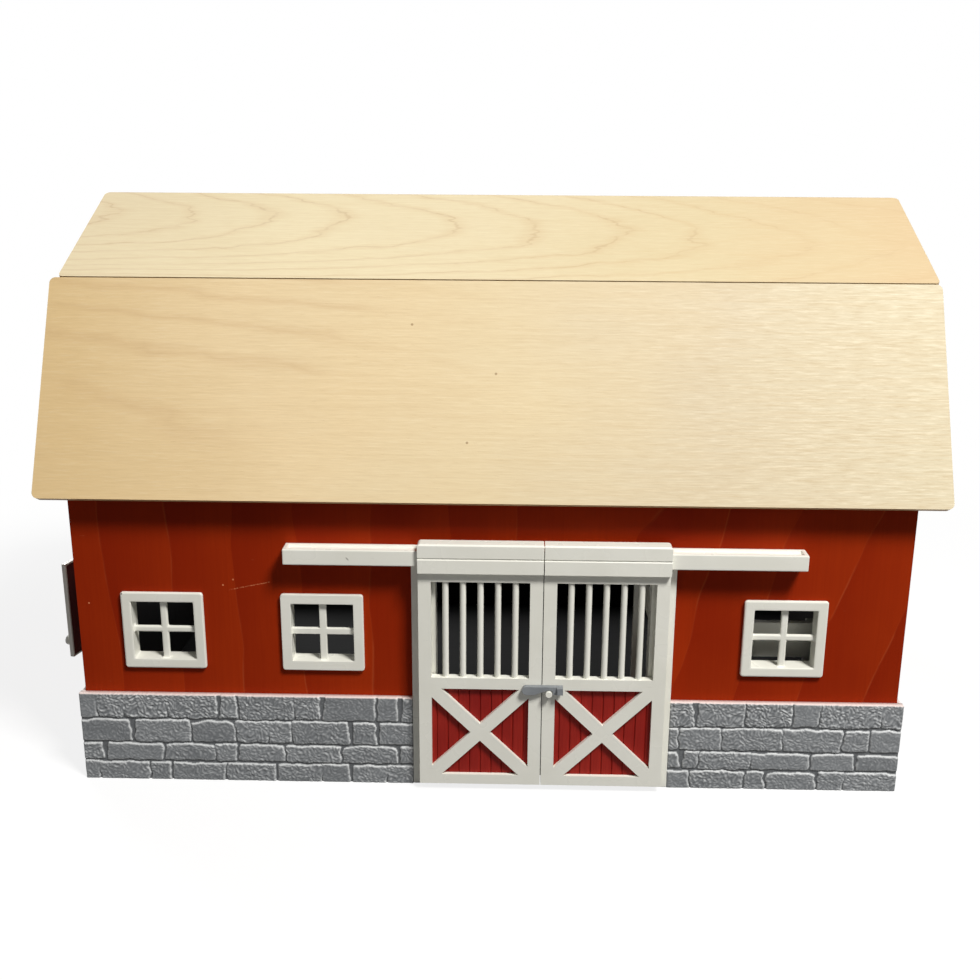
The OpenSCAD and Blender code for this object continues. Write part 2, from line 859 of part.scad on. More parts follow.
// Stall fence that stands on the floor: a tall braced bay at its left, two boards to its right end
module stall_fence() {
    bay_right = fence_left + fence_bay;
    board_left = bay_right - fence_post_width;
    board_top = upper_fence_rail + fence_rail_height;
    posts = [
        [fence_left, fence_height],
        [board_left, fence_height],
        [fence_right - 3 * fence_post_width, board_top]
    ];
    color(white_plastic) {
        for (post = posts)
            translate([post[0], fence_y, floor_ply])
                cube([fence_post_width, fence_thickness, post[1] - floor_ply]);
        for (z = [lower_fence_rail, upper_fence_rail])
            translate([board_left, fence_y - fence_thickness + weld, z])
                cube([fence_right - board_left, fence_thickness, fence_rail_height]);
        translate([fence_left, fence_y, fence_height - fence_top_rail])
            cube([fence_bay, fence_thickness, fence_top_rail]);
        upright(fence_y + fence_thickness, fence_thickness) polygon([
            [fence_left, fence_height],
            [bay_right - fence_brace_width, floor_ply],
            [bay_right, floor_ply],
            [fence_left + fence_brace_width, fence_height]
        ]);
    }
}

floor_board();
front_wall();
left_gable();
right_gable();
back_rail();
back_sill();
ridge_beam();
front_purlin();
back_purlin();
front_lower_roof();
front_upper_roof();
back_upper_roof();
back_lower_roof();
front_left_stone();
front_right_stone();
left_side_stone();
right_side_stone();
door_frame();
door_track();
left_door_leaf();
left_door_panel();
left_door_hanger();
right_door_leaf();
right_door_panel();
right_door_hanger();
latch_lever();
latch_clip();
latch_peg();
left_window();
middle_window();
right_window();
hatch_frame();
hatch_leaf();
hatch_panel();
hatch_knob();
hatch_hinge_pin();
stall_fence();
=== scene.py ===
"""The looks of a wooden toy barn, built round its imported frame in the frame's own metres."""

import math

import bmesh
import bpy
import numpy as np
from mathutils import Matrix, Vector


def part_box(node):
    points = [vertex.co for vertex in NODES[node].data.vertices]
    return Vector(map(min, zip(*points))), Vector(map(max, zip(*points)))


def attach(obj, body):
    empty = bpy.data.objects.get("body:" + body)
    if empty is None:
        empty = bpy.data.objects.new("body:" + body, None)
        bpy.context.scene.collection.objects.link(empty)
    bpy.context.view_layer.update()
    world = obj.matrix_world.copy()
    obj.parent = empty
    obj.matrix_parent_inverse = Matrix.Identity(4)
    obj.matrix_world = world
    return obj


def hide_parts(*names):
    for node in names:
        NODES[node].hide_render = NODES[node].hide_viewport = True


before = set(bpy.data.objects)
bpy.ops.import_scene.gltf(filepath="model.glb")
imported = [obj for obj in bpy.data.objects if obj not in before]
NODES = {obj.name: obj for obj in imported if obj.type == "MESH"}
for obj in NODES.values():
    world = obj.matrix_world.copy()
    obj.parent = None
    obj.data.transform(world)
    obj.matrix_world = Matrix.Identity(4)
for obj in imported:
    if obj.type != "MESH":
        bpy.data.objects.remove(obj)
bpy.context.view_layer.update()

# Faces of the walls, as the frame has them
FRONT_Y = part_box("front_wall")[0].y
ROOM_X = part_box("floor_board")[1].x

# Thickness of the walls and slopes of the roof, which repeat the source's
WALL_PLY = 0.009
LOWER_SLOPE = math.radians(63.3)
UPPER_SLOPE = math.radians(24.1)

# Where the roof's break lies, measured up the slope of the panel on either side
BREAK_UPPER = 0.0378
BREAK_LOWER = 0.2570

# Birch veneer: tones from the barn's left end to its right, and those of its figure
UPPER_TONES = ((216, 201, 165), (225, 212, 177), (220, 207, 173), (210, 195, 158), (207, 184, 146))
LOWER_TONES = ((221, 192, 142), (232, 208, 165), (227, 208, 169), (214, 199, 169), (215, 203, 173))
BIRCH_FIBRE = (204, 176, 130)
# Pale and dark streak tones; on the lower panel's right end they paint the lamp's gloss reflection.
BIRCH_SHEEN_LIGHT = (250, 240, 214)
BIRCH_SHEEN_DARK = (184, 158, 116)
LATE_WOOD = (190, 152, 106)
RING_LINE = (156, 120, 84)
BIRCH_FLECK = (182, 146, 98)
PIN_HOLE = (128, 94, 58)
PLY_LIGHT = (206, 180, 138)
PLY_DARK = (172, 136, 92)
PLY_PITCH = 0.0024

# Pins in the front lower roof, as x and the way down from the break
ROOF_PINS = ((0.003, 0.0647), (-0.0152, 0.1113), (-0.0531, 0.0314))

# Wear on the front wall, as x and z: one scratch, from its left end, and three nicks
SCRATCH = (-0.1765, 0.1412)
SCRATCH_LEAN = math.radians(12.2)
SCRATCH_LENGTH = 0.0296
NICKS = ((-0.1797, 0.1448), (-0.1727, 0.1488), (-0.2720, 0.1304))

# Wear on the door track: a rub on its face, as x and z, and a screw in its top, as x and y
RUB = (-0.0932, 0.1696)
RUB_LEAN = 0.7
TRACK_FACE_Y = -0.1789
SCREW = (0.2019, -0.1740)
TRACK_TOP_Z = 0.1730


def srgb(red, green, blue):
    """Linear colour of a tone written as it shows, from 0 to 255."""
    tones = [v / 255 for v in (red, green, blue)]
    return tuple(v / 12.92 if v <= 0.04045 else ((v + 0.055) / 1.055) ** 2.4 for v in tones)


# Shader maths


class Signal:
    """What a socket carries. Sums with it add Math nodes to its finish."""

    def __init__(self, finish, socket):
        self.finish = finish
        self.socket = socket

    def maths(self, operation, *values):
        return self.finish.add("Math", {"operation": operation}, dict(enumerate(values)))

    def __add__(self, other):
        return self.maths("ADD", self, other)

    __radd__ = __add__

    def __sub__(self, other):
        return self.maths("SUBTRACT", self, other)

    def __rsub__(self, other):
        return self.maths("SUBTRACT", other, self)

    def __mul__(self, other):
        return self.maths("MULTIPLY", self, other)

    __rmul__ = __mul__

    def __truediv__(self, other):
        return self.maths("DIVIDE", self, other)

    def __pow__(self, other):
        return self.maths("POWER", self, other)

    def __abs__(self):
        return self.maths("ABSOLUTE", self)

    def sine(self):
        return self.maths("SINE", self)

    def fraction(self):
        return self.maths("FRACT", self)

    def most(self, other):
        return self.maths("MAXIMUM", self, other)

    def rise(self, start, stop):
        """Smooth step from 0 at start to 1 at stop. Where stop is the lower, it falls."""
        return self.finish.add("MapRange", {"interpolation_type": "SMOOTHSTEP"},
            {"Value": self, "From Min": start, "From Max": stop})


class Finish:
    """The node tree of a material or of the world."""

    def __init__(self, owner):
        owner.use_nodes = True
        self.tree = owner.node_tree
        self.tree.nodes.clear()

    def add(self, kind, settings=None, sockets=None, out=0):
        """Adds a node: its settings first, then the values or links of its sockets."""
        node = self.tree.nodes.new("ShaderNode" + kind)
        for name, value in (settings or {}).items():
            if name == "stops":
                ramp = node.color_ramp.elements
                while len(ramp) < len(value):
                    ramp.new(0.5)
                for element, (place, tone) in zip(ramp, value):
                    element.position = place
                    element.color = (*tone, 1)
            else:
                setattr(node, name, value)
        for key, value in (sockets or {}).items():
            socket = node.inputs[key]
            if isinstance(value, Signal):
                self.tree.links.new(value.socket, socket)
            elif isinstance(value, tuple) and len(value) == 3 and socket.type == "RGBA":
                socket.default_value = (*value, 1)
            else:
                socket.default_value = value
        return Signal(self, node.outputs[out]) if node.outputs else None

    def blend(self, factor, first, second):
        """Mixes two colours."""
        return self.add("Mix", {"data_type": "RGBA", "blend_type": "MIX", "clamp_result": False},
            {0: factor, 6: first, 7: second}, 2)

    def place(self):
        """Position on the object in the frame's axes, at rest, in metres."""
        return self.add("TexCoord", None, None, "Object")

    def split(self, vector):
        return [self.add("SeparateXYZ", None, {0: vector}, i) for i in range(3)]

    def join(self, x, y, z):
        return self.add("CombineXYZ", None, {0: x, 1: y, 2: z})

    def noise(self, vector, scale, detail, roughness):
        return self.add("TexNoise", None,
            {"Vector": vector, "Scale": scale, "Detail": detail, "Roughness": roughness})

    def attribute(self, name):
        """A number that the mesh carries at each point."""
        return self.add("Attribute", {"attribute_name": name}, None, 2)

    def bump(self, height, distance, strength, under=None):
        sockets = {"Height": height, "Distance": distance, "Strength": strength}
        if under:
            sockets["Normal"] = under
        return self.add("Bump", None, sockets)

    def seen(self):
        """1 for what the eye meets, straight on or in gloss or glass, and 0 for lighting."""
        eye, gloss, glass = [self.add("LightPath", None, None, name) for name in
            ("Is Camera Ray", "Is Glossy Ray", "Is Transmission Ray")]
        return eye.most(gloss).most(glass)

    def surface(self, **sockets):
        """Ends the tree in a Principled shader; names are written with _ for a space."""
        names = {name.replace("_", " "): value for name, value in sockets.items()}
        level = names.pop("Specular", None)
        if level is not None:
            names["Specular IOR Level"] = level
        shader = self.add("BsdfPrincipled", None, names)
        self.add("OutputMaterial", None, {"Surface": shader})


MATERIALS = {}


def material(maker):
    """Makes each material once, named for its maker."""
    def get(*args):
        name = "_".join([maker.__name__, *map(str, args)])
        if name not in MATERIALS:
            MATERIALS[name] = bpy.data.materials.new(name)
            maker(Finish(MATERIALS[name]), *args)
        return MATERIALS[name]
    return get


def distance(a, b, centre):
    """How far a point of a flat face lies from a mark's centre."""
    return ((a - centre[0]) ** 2 + (b - centre[1]) ** 2) ** 0.5


# Wood


def veneer_fibre(f, along, across, through):
    """Fine fibres of the wood, about 0.4 mm wide and a few centimetres long, from 0 to 1."""
    coarse = f.noise(f.join(along * 14, across * 700, through * 300), 1, 3, 0.6)
    fine = f.noise(f.join(along * 60, across * 2600, through * 900), 1, 2, 0.6)
    return coarse * 0.6 + fine * 0.4


def growth_rings(f, panel, x, across, aside):
    """Arched figure of the veneer, which grows by one from each ring to the next."""
    sway = f.noise(f.join(x * 8, across * 24, aside), 1, 3, 0.6)
    shiver = f.noise(f.join(x * 60, across * 160, aside), 1, 2, 0.6)
    if panel == "upper":
        ring_width, start = 0.0613, 0.155
        lift = across - BREAK_UPPER - 0.072 + x * 0.065
        bow = lift * lift * (40 - x * 60)
        swayed, shivered = 1.5, 0.3
    else:
        ring_width, start = 0.19, 0.15
        lift = BREAK_LOWER - across - 0.131
        bow = lift * lift * 42
        swayed, shivered = 1.3, 0.1
    rings = (x + bow + start) / ring_width
    return rings + (sway - 0.5) * swayed + (shiver - 0.5) * shivered


def ply_layers(f, tone, slope, through):
    """Keeps the veneer's tone on the panel's faces and shows the plies on its cut edges."""
    layer = (through * (2 * math.pi / PLY_PITCH)).sine().rise(-0.2, 0.2)
    layers = f.blend(layer, srgb(*PLY_LIGHT), srgb(*PLY_DARK))
    _, ny, nz = f.split(f.add("TexCoord", None, None, "Normal"))
    facing = abs(nz * math.cos(slope) + abs(ny) * math.sin(slope))
    return f.blend(facing.rise(0.75, 0.45), tone, layers)


@material
def birch_ply(f, panel):
    """Clear birch veneer, its grain along the barn, with ply layers on the cut edges."""
    x, y, z = f.split(f.place())
    slope = UPPER_SLOPE if panel == "upper" else LOWER_SLOPE
    depth = abs(y)
    across = z * math.sin(slope) - depth * math.cos(slope)
    through = z * math.cos(slope) + depth * math.sin(slope)
    behind = y.rise(-0.001, 0.001)
    aside = through + behind
    fibre = veneer_fibre(f, x, across, through)
    blotch = f.noise(f.join(x * 6, across * 12, aside), 1, 3, 0.5)
    if panel == "upper":
        tones, line_strength, late_strength = UPPER_TONES, 0.25, 0.16
        figured = x.rise(0.3, 0.05) * 0.7 + 0.3
        ripple_and_sheen = 0.08
    else:
        tones, line_strength, late_strength = LOWER_TONES, 0.05, 0.20
        figured = x.rise(0.06, -0.12) * blotch.rise(0.35, 0.6)
        # On the lower panel the streaks grow stronger towards the right end: a painted reflection of the
        # lamp, as pale and dark ripples.
        ripple_and_sheen = x.rise(0.02, 0.26) * 0.2 + 0.08

    stops = [(i / 4, srgb(*tone)) for i, tone in enumerate(tones)]
    tone = f.add("ValToRGB", {"stops": stops}, {0: x / 0.58 + 0.5 + (blotch - 0.5) * 0.35})
    tone = f.blend(fibre.rise(0.35, 0.65) * 0.24, tone, srgb(*BIRCH_FIBRE))
    streaks = f.noise(f.join(x * 85, across * 820, through), 1, 3, 0.6)
    tone = f.blend(streaks.rise(0.52, 0.68) * ripple_and_sheen, tone, srgb(*BIRCH_SHEEN_LIGHT))
    tone = f.blend(streaks.rise(0.48, 0.34) * ripple_and_sheen, tone, srgb(*BIRCH_SHEEN_DARK))

    from_ring = abs(growth_rings(f, panel, x, across, aside).fraction() - 0.5)
    broken = f.noise(f.join(x * 30, across * 55, aside), 1, 2, 0.5).rise(0.36, 0.6)
    line = from_ring.rise(0.455, 0.5) * (broken * 0.85 + 0.15) * (fibre * 1.2 + 0.3)
    tone = f.blend(from_ring.rise(0.26, 0.5) * figured * late_strength, tone, srgb(*LATE_WOOD))
    tone = f.blend(line * figured * line_strength, tone, srgb(*RING_LINE))
    flecks = f.noise(f.join(x * 150, across * 1500, through), 1, 2, 0.6).rise(0.66, 0.76)
    tone = f.blend(flecks * 0.16, tone, srgb(*BIRCH_FLECK))

    if panel == "lower":
        drop = BREAK_LOWER - across
        for pin in ROOF_PINS:
            hole = distance(x, drop, pin).rise(0.0011, 0.0006) * behind.rise(0.6, 0.4)
            tone = f.blend(hole * 0.6, tone, srgb(*PIN_HOLE))
    tone = ply_layers(f, tone, slope, through)
    silk = f.noise(f.join(x * 90, across * 800, through), 1, 2, 0.55)
    normal = f.bump(fibre - flecks * 0.5, 0.00014, 0.5)
    normal = f.bump(silk, 0.0003, 0.3, normal)
    f.surface(Base_Color=tone, Roughness=0.46 + fibre * 0.14, Normal=normal, Specular=0.22)


@material
def strip_birch(f):
    """Planed birch strips under the roof."""
    x, y, z = f.split(f.place())
    fibre = veneer_fibre(f, x, y, z)
    blotch = f.noise(f.join(x * 8, y * 30, z * 30), 1, 2, 0.5)
    tone = f.blend(fibre * 0.6 + blotch * 0.4, srgb(226, 196, 144), srgb(194, 154, 100))
    f.surface(Base_Color=tone, Roughness=0.5 + fibre * 0.15, Normal=f.bump(fibre, 0.0002, 0.5))


def wall_wear(f, x, z):
    """The scratch and the nicks on the front wall, from 0 to 1."""
    from_x, from_z = x - SCRATCH[0], z - SCRATCH[1]
    along = from_x * math.cos(SCRATCH_LEAN) + from_z * math.sin(SCRATCH_LEAN)
    off = from_z * math.cos(SCRATCH_LEAN) - from_x * math.sin(SCRATCH_LEAN)
    patchy = f.noise(f.join(x * 900, z * 900, 0.0), 1, 2, 0.6).rise(0.4, 0.6)
    ends = along.rise(0.0, 0.001) * along.rise(SCRATCH_LENGTH, SCRATCH_LENGTH - 0.001)
    marks = abs(off).rise(0.00045, 0.0002) * ends * patchy * 0.7
    for nick in NICKS:
        marks = marks.most(distance(x, z, nick).rise(0.0008, 0.0004) * 0.8)
    return marks


@material
def red_stain(f, lie):
    """Red-brown stain on veneer with upright figure, dark inside the barn."""
    x, y, z = f.split(f.place())
    front = lie == "front"
    side, through = (x, y) if front else (y, x)
    lean = f.noise(f.join(side * 6, z * 3.2, through), 1, 3, 0.55)
    ripple = f.noise(f.join(side * 30, z * 12, through), 1, 2, 0.5)
    slant = x.rise(0.05, 0.12) * 0.25 if front else 0.1
    wave = (z * 11 + side * 9).sine() * 0.10
    ring = ((side - z * slant) * 22 + wave + lean * 1.1 + ripple * 0.2).fraction()
    fibre = veneer_fibre(f, z, side, through)
    blotch = f.noise(f.join(side * 9, z * 7, through), 1, 3, 0.5)
    tone = f.blend((ring * 0.28 + blotch * 0.8).rise(0.25, 0.85), srgb(142, 34, 5), srgb(166, 50, 10))
    tone = f.blend(fibre.rise(0.3, 0.7) * 0.22, tone, srgb(124, 26, 6))

    broken = f.noise(f.join(x * 30, y * 30, z * 24), 1, 2, 0.6).rise(0.4, 0.58)
    shown = f.noise(f.join(side * 14, z * 6, through), 1, 2, 0.5).rise(0.40, 0.58)
    line = abs(ring - 0.5).rise(0.478, 0.5) * (broken * 0.8 + 0.2) * shown
    tone = f.blend(line * 0.22, tone, srgb(206, 104, 60))
    scuffs = f.noise(f.join(side * 90, z * 500, through), 1, 2, 0.6).rise(0.76, 0.82)
    tone = f.blend(scuffs * 0.25, tone, srgb(196, 116, 84))
    if front:
        tone = f.blend(wall_wear(f, x, z), tone, srgb(236, 150, 104))
        inside = (y - (FRONT_Y + WALL_PLY - 0.0006)).rise(0, 0.0004)
    else:
        inside = (ROOM_X + 0.0004 - abs(x)).rise(0, 0.0004)
    tone = f.blend(inside, tone, srgb(30, 27, 27))
    normal = f.bump(fibre, 0.00012, 0.5)
    normal = f.bump(ripple, 0.0006, 0.25, normal)
    f.surface(Base_Color=tone, Roughness=0.46 + fibre * 0.16, Normal=normal, Specular=0.06)


@material
def charcoal_board(f):
    """Dark painted plywood floor."""
    x, y, z = f.split(f.place())
    fibre = veneer_fibre(f, x, y, z)
    dust = f.noise(f.join(x * 12, y * 16, z), 1, 4, 0.6)
    tone = f.blend(dust * 0.7 + fibre * 0.3, srgb(10, 10, 10), srgb(18, 18, 18))
    f.surface(Base_Color=tone, Roughness=0.62 + fibre * 0.15, Normal=f.bump(fibre, 0.0002, 0.5),
        Specular=0.15)


# Mouldings and metal


@material
def white_plastic(f):
    """Satin off-white moulding with faint clouding, fine pitting and rubbed scuffs."""
    place = f.place()
    x, y, z = f.split(place)
    cloud = f.noise(place, 26, 3, 0.55)
    pits = f.noise(place, 1500, 2, 0.5)
    scuffs = f.noise(f.join(x * 60, y * 60, z * 420), 1, 3, 0.6).rise(0.69, 0.76)
    tone = f.blend(cloud.rise(0.3, 0.7), srgb(243, 242, 232), srgb(237, 236, 225))
    tone = f.blend(scuffs * 0.22, tone, srgb(190, 186, 174))

    beside = x - RUB[0] + (z - RUB[1]) * RUB_LEAN
    from_rub = (beside ** 2 * 3 + (z - RUB[1]) ** 2) ** 0.5
    rub = from_rub.rise(0.0014, 0.0007) * y.rise(TRACK_FACE_Y + 0.0004, TRACK_FACE_Y)
    tone = f.blend(rub * 0.6, tone, srgb(118, 112, 100))
    hole = distance(x, y, SCREW).rise(0.0013, 0.0009) * z.rise(TRACK_TOP_Z - 0.0005, TRACK_TOP_Z)
    tone = f.blend(hole * 0.7, tone, srgb(96, 90, 84))
    normal = f.bump(pits, 0.00006, 0.35)
    normal = f.bump(cloud, 0.0006, 0.12, normal)
    f.surface(Base_Color=tone, Roughness=0.22 + cloud * 0.12 + scuffs * 0.15, Normal=normal,
        Specular=0.5)


@material
def crimson_panel(f, place):
    """Crimson boards pressed with fine upright grain; the hatch's copy is darkened with painted shade."""
    x, y, z = f.split(f.place())
    fibre = f.noise(f.join(x * 1400, y * 300, z * 36), 1, 3, 0.6)
    cloud = f.noise(f.join(x * 30, y * 30, z * 22), 1, 2, 0.5)
    tone = f.blend(cloud.rise(0.25, 0.75), srgb(138, 28, 22), srgb(158, 40, 30))
    tone = f.blend(fibre.rise(0.35, 0.7) * 0.35, tone, srgb(116, 16, 14))
    # Painted shade: the hatch's boards are made darker, as its inner face lies in the barn's shade.
    if place == "hatch":
        tone = f.blend(0.75, tone, srgb(52, 10, 10))
    f.surface(Base_Color=tone, Roughness=0.4 + fibre * 0.2, Normal=f.bump(fibre, 0.0002, 0.5),
        Specular=0.15)


@material
def grey_plastic(f):
    """Mid grey moulding of the latch."""
    place = f.place()
    cloud = f.noise(place, 90, 3, 0.55)
    pits = f.noise(place, 1800, 2, 0.5)
    tone = f.blend(cloud.rise(0.3, 0.7), srgb(132, 136, 140), srgb(120, 124, 128))
    f.surface(Base_Color=tone, Roughness=0.36 + cloud * 0.14, Normal=f.bump(pits, 0.00006, 0.4))


@material
def pin_steel(f):
    """Drawn wire with faint draw lines."""
    x, y, z = f.split(f.place())
    lines = f.noise(f.join(x * 3000, y * 3000, z * 20), 1, 2, 0.5)
    tone = f.blend(lines, srgb(196, 196, 194), srgb(158, 158, 156))
    f.surface(Base_Color=tone, Metallic=1.0, Roughness=0.26 + lines * 0.2,
        Normal=f.bump(lines, 0.00005, 0.4))


@material
def moulded_stone(f):
    """Grey moulded stone: ridges rubbed pale with a painted highlight, painted shade in the joints and on
    slopes facing down and left, a painted highlight along the top edge and a fine broken grain.
    """
    place = f.place()
    grit = f.noise(place, 1400, 3, 0.6)
    cloud = f.noise(place, 70, 3, 0.6)
    own = f.attribute("stone_tone") * 0.5 + cloud * 0.5
    tone = f.blend(own.rise(0.15, 0.85), srgb(120, 123, 126), srgb(134, 137, 140))
    # Painted shade in the joints and on slopes facing down and left.
    tone = f.blend(f.attribute("sink") * 0.8, tone, srgb(58, 60, 62))
    # Rubbed ridges, and a painted highlight on slopes facing up and right.
    tone = f.blend(f.attribute("crest") * 0.72, tone, srgb(240, 242, 242))
    tone = f.blend(grit.rise(0.5, 0.8) * 0.2, tone, srgb(100, 102, 105))
    # Painted highlight and reflection along the panel's top edge.
    tone = f.blend(f.attribute("ledge") * 0.9, tone, srgb(238, 222, 216))
    f.surface(Base_Color=tone, Roughness=0.4 + grit * 0.2, Normal=f.bump(grit, 0.00008, 0.4),
        Specular=0.4)


# Stone panels, in millimetres

# Heights of the courses and widths of their stones, from the top course down
COURSES = (18.5, 18.0, 14.5, 14.0)
LEFT_WIDTHS = (
    (12, 18, 31, 35, 15, 38, 18.5, 38.5, 16, 9),
    (36, 41, 31, 22, 17, 41, 19, 24),
    (15, 41, 37, 15, 34, 39, 40, 10),
    (10, 36, 15, 38, 36, 32, 20, 26, 18),
)
RIGHT_WIDTHS = (
    (18, 34, 32, 18, 43, 11),
    (7, 30, 42, 40, 19, 18),
    (9, 12, 36, 41, 31, 27),
    (16, 37, 16, 35, 19, 33),
)
STONE_HEIGHT = sum(COURSES)
LOWEST = len(COURSES) - 1

STONE_RELIEF = 1.4      # the most that a stone stands out of its panel
SMOOTH_STONES = 0.22    # share of stones that are smoother than the rest
NARROWEST = 4.8         # the narrowest stone that the panel's end may cut off
ARCHED_FROM = 24        # a wider stone may have an arched top
HALF_JOINT = 0.5
EDGE_BLEND = 0.6        # how softly a stone's four sides meet at its corners
EDGE_ROUND = 1.2
PAST_END = 8            # stones at the panel's ends run on past them, so that no joint lies there
JOINT_LEVEL = 0.55      # what lies lower than this is joint
BORDER_ROUND = 0.6
BORDER_DROP = 0.4
FINE_STEP, QUICK_STEP = 0.5, 1.2
SIDE_STEPS = 1.4        # the sides' points lie further apart than the front's


def gradient_noise(u, v, seed):
    """Smooth noise from about -1 to 1 over arrays of positions, one lattice cell to the unit."""
    angles = np.random.default_rng(seed).uniform(0, 2 * np.pi, (64, 64))
    iu, iv = np.floor(u).astype(int), np.floor(v).astype(int)
    fu, fv = u - iu, v - iv
    total = 0
    for du in (0, 1):
        for dv in (0, 1):
            angle = angles[(iu + du) % 64, (iv + dv) % 64]
            slope = np.cos(angle) * (fu - du) + np.sin(angle) * (fv - dv)
            near_u = fu if du else 1 - fu
            near_v = fv if dv else 1 - fv
            total = total + slope * near_u ** 2 * (3 - 2 * near_u) * near_v ** 2 * (3 - 2 * near_v)
    return total * 1.6


def quarter_round(share):
    """Profile of a rounded edge, from 0 at its foot to 1 where share reaches 1."""
    return np.sqrt(np.clip(1 - (1 - np.clip(share, 0, 1)) ** 2, 0, 1))


def stone_bounds(length, widths):
    """Left and right ends of the stones of one course, the last one cut off by the panel's end."""
    edges, start = [], 0
    for width in widths * 2:
        room = length - start - width
        if start < length - NARROWEST:
            edges.append((start, length if room < NARROWEST else start + width))
        start += width
    return edges


def chiselled_face(u, v, seed):
    """Broad swell of the stones, their chisel marks and the small flakes between."""
    bend = 0.5 * gradient_noise(u / 9, v / 9, seed + 7)
    turn_u, turn_v = u * 0.86 - v * 0.5, v * 0.86 + u * 0.5 + bend * 7
    chisel = 1 - 2.4 * np.abs(gradient_noise(turn_u / 4.6, turn_v / 2.7, seed + 3))
    flakes = gradient_noise(turn_u / 1.9, turn_v / 1.3, seed + 4) * 1.5
    return gradient_noise(u / 11, v / 8, seed + 5), chisel, flakes


def stone_heights(u, v, length, rows, seed):
    """Height of the stones over the panel's plate and each stone's own tone."""
    rng = np.random.default_rng(seed)
    warp_u = u + 1.0 * gradient_noise(u / 6, v / 5, seed + 1)
    warp_v = v + 0.8 * gradient_noise(u / 7, v / 5, seed + 2)
    swell, chisel, flakes = chiselled_face(u, v, seed)
    height, tone = np.zeros_like(u), np.full_like(u, 0.3)
    top = STONE_HEIGHT
    for row, widths in enumerate(rows):
        bottom = top - COURSES[row]
        stones = stone_bounds(length, widths)
        for i, (left, right) in enumerate(stones):
            hump = rng.uniform(-0.4, 2.2) * (right - left > ARCHED_FROM)
            lean_l, lean_r = rng.uniform(-0.15, 0.15, 2)
            across = (warp_u - (left + right) / 2) / ((right - left) / 2)
            roof = top - HALF_JOINT - hump * across ** 2
            roof = roof + (PAST_END if row == 0 else rng.uniform(-0.5, 0.4))
            sole = bottom + HALF_JOINT + rng.uniform(-0.3, 0.7) - PAST_END * (row == LOWEST)
            l_edge = left + HALF_JOINT + lean_l * (warp_v - bottom) - PAST_END * (i == 0)
            r_edge = right - HALF_JOINT + lean_r * (warp_v - bottom)
            r_edge = r_edge + PAST_END * (i == len(stones) - 1)
            sides = np.stack([warp_u - l_edge, r_edge - warp_u, roof - warp_v, warp_v - sole])
            edge = -EDGE_BLEND * np.log(np.sum(np.exp(-sides / EDGE_BLEND), axis=0))
            if rng.random() < SMOOTH_STONES:
                rough = 0.3
            else:
                rough = rng.uniform(0.6, 0.9) * (1.15 if row == 0 else 0.75)
            face = 0.92 + 0.14 * swell + rough * (0.22 * chisel + 0.32 * flakes)
            stone = quarter_round(edge / EDGE_ROUND) * np.clip(face, 0, STONE_RELIEF)
            tone = np.where(stone > height, rng.random(), tone)
            height = np.maximum(height, stone)
        top = bottom
    grain = 0.05 * gradient_noise(u / 1.2, v / 1.2, seed + 6) + 0.06
    return np.clip(height + grain, 0, STONE_RELIEF), tone


def rubbed_and_sunk(height, step):
    """Where the stones are rubbed pale, with a painted highlight on slopes facing up and right, and where
    painted shade darkens the joints and the slopes facing down and left, from 0 to 1.
    """
    blur = height.copy()
    for _ in range(3):
        padded = np.pad(blur, 1, mode="edge")
        blur = (padded[:-2, 1:-1] + padded[2:, 1:-1] + padded[1:-1, :-2] + padded[1:-1, 2:]) / 4
    fall_v, fall_u = np.gradient(-(height + blur) / 2, step)
    # Painted highlight on the slopes that face up and right, towards the lamp.
    lit = np.clip(fall_v * 1.5 + fall_u * 0.8, 0, 1)
    # Painted shade on the slopes that face down and left, away from the lamp.
    shaded = np.clip(-fall_v * 1.3 - fall_u * 0.7, 0, 0.9)
    # Painted shade in the joints, where the relief lies low.
    joint = np.clip(1 - height / JOINT_LEVEL, 0, 1)
    # The first mask is rubbed ridges plus the painted highlight; the second is painted shade.
    return np.clip((height - blur) / 0.4 + lit, 0, 1), np.clip(joint * 0.8 + shaded, 0, 1)


